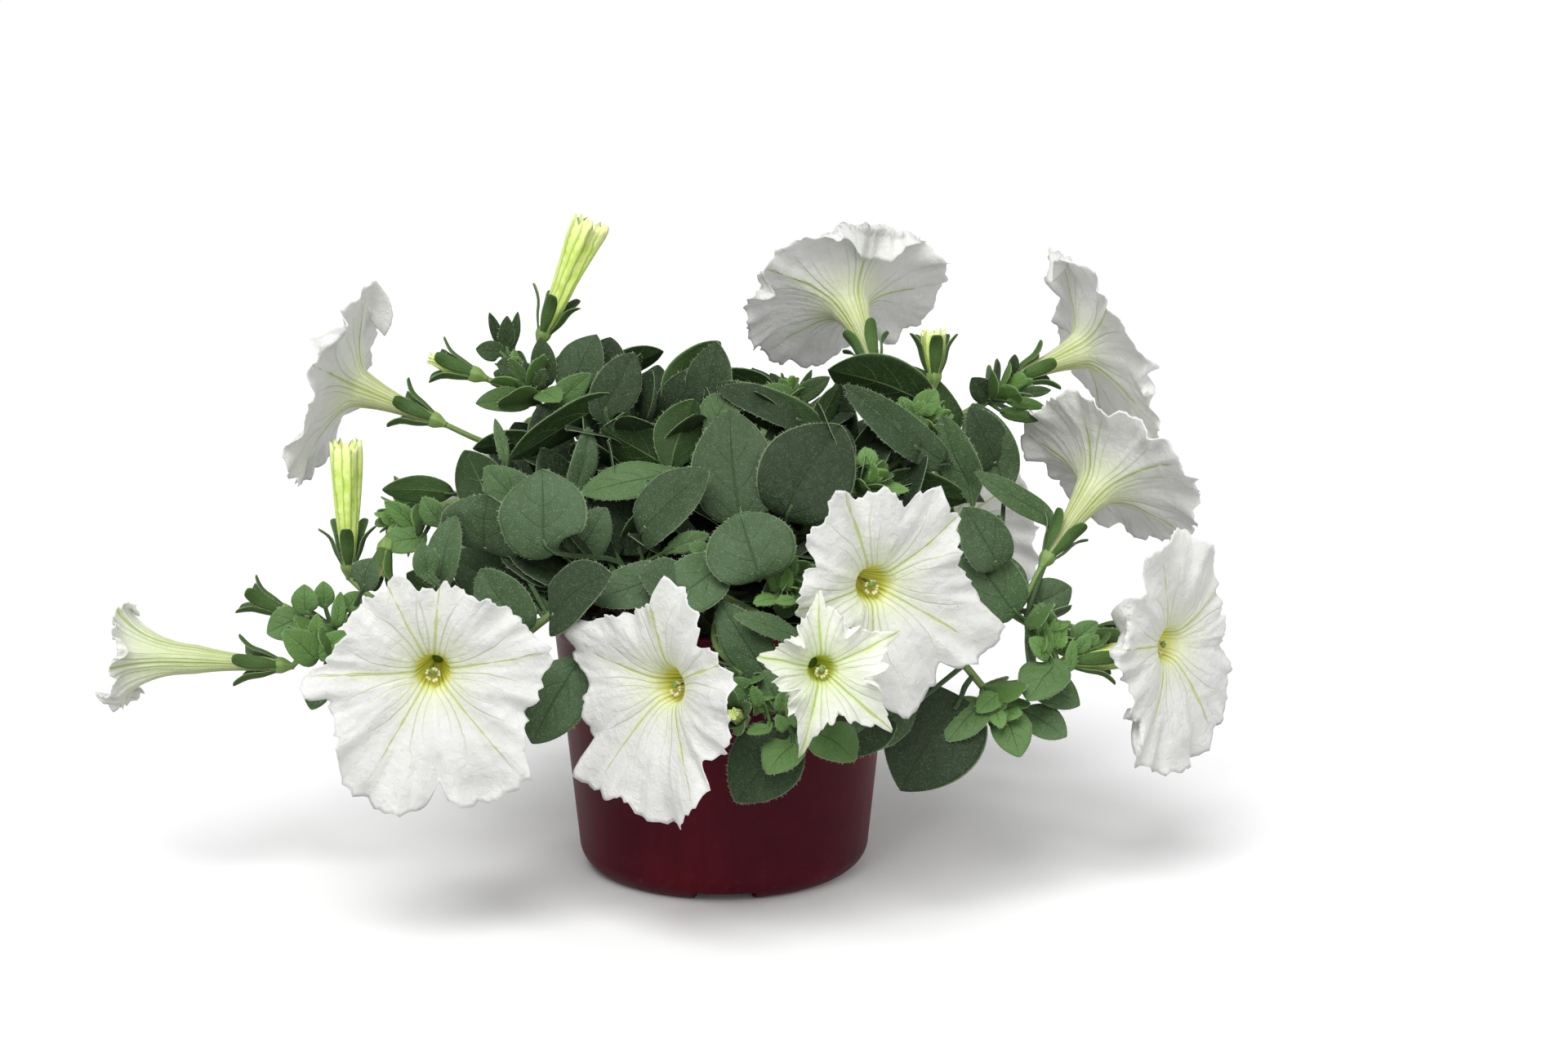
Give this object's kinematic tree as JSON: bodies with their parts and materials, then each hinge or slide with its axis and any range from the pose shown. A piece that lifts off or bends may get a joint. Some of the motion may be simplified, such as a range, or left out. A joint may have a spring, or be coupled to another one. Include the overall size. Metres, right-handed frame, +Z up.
{
  "type": "potted petunia",
  "caption": "Bushy flowering petunia in a round tapered nursery pot, with ruffled white trumpet flowers, cream buds and soft oval leaves.",
  "frame": {"origin": "middle of the flat pad under the pot, on the pot's axis, at the level of the surface it stands on", "axes": "+Z up along the pot's axis, -Y towards the front that the picture shows, +X to the right of the picture"},
  "size_m": [0.421, 0.2701, 0.2514],
  "materials": {
    "pot_plastic": "satin",
    "potting_mix": "matte",
    "stem_green": "matte",
    "leaf_green": "matte",
    "petal_white": "matte",
    "petal_cream": "matte",
    "bud_cream": "matte"
  },
  "bodies": {
    "root": {"pot": "pot_plastic", "potting_mix": "potting_mix", "crown": "stem_green", "shoot_a": "stem_green", "shoot_b": "stem_green", "shoot_c": "stem_green", "shoot_d": "stem_green", "shoot_e": "stem_green", "shoot_f": "stem_green", "shoot_g": "stem_green", "shoot_h": "stem_green", "shoot_i": "stem_green", "shoot_j": "stem_green", "shoot_k": "stem_green", "shoot_l": "stem_green", "shoot_m": "stem_green", "shoot_n": "stem_green", "shoot_o": "stem_green", "shoot_p": "stem_green", "flower_front_left": "petal_white", "flower_front_middle": "petal_white", "flower_front_right": "petal_white", "flower_young_star": "petal_cream", "flower_right_side": "petal_white", "flower_right_back": "petal_white", "flower_upper_right": "petal_white", "flower_top": "petal_white", "flower_upper_left": "petal_white", "flower_half_open": "petal_cream", "flower_back_left": "petal_white", "flower_back_middle": "petal_white", "flower_back_right": "petal_white", "bud_tall": "bud_cream", "bud_left": "bud_cream", "bud_top": "bud_cream", "bud_right": "bud_cream", "bud_front": "bud_cream", "bud_upper": "bud_cream", "bud_outer": "bud_cream", "bud_small": "bud_cream", "leaf_centre_tall": "leaf_green", "leaf_centre_right": "leaf_green", "leaf_centre_low": "leaf_green", "leaf_centre_left": "leaf_green", "leaf_left_face": "leaf_green", "leaf_left_outer": "leaf_green", "leaf_left_low": "leaf_green", "leaf_middle_low": "leaf_green", "leaf_top_right_of_middle": "leaf_green", "leaf_top_left_of_middle": "leaf_green", "leaf_top_left": "leaf_green", "leaf_top_fold": "leaf_green", "leaf_upper_right_long": "leaf_green", "leaf_upper_right_round": "leaf_green", "leaf_right_middle": "leaf_green", "leaf_right_low": "leaf_green", "leaf_front_low": "leaf_green", "leaf_front_low_right": "leaf_green", "leaf_back_high": "leaf_green", "leaf_back_low": "leaf_green"}
  },
  "joints": []
}
